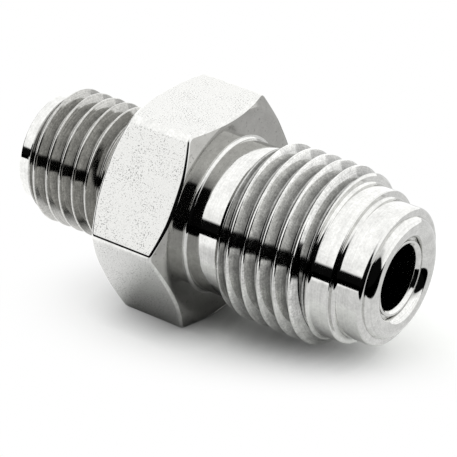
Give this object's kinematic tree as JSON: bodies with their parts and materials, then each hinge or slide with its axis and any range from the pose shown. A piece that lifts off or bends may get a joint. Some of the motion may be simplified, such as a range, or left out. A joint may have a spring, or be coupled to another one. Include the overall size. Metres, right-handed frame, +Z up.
{
  "type": "face seal fitting",
  "caption": "Straight steel fitting: a threaded nose with a raised sealing bead, a wrench hexagon and a threaded tube end, with a bore right through.",
  "frame": {"origin": "on the ground plane under the axis, halfway along the length", "axes": "+X along the axis, toward the face seal end; +Z up, square to the flat that the hexagon lies on; +Y completes the frame"},
  "size_m": [0.0336, 0.0196, 0.017],
  "materials": {
    "steel": "polished"
  },
  "bodies": {
    "root": {"fitting_body": "steel"}
  },
  "joints": []
}
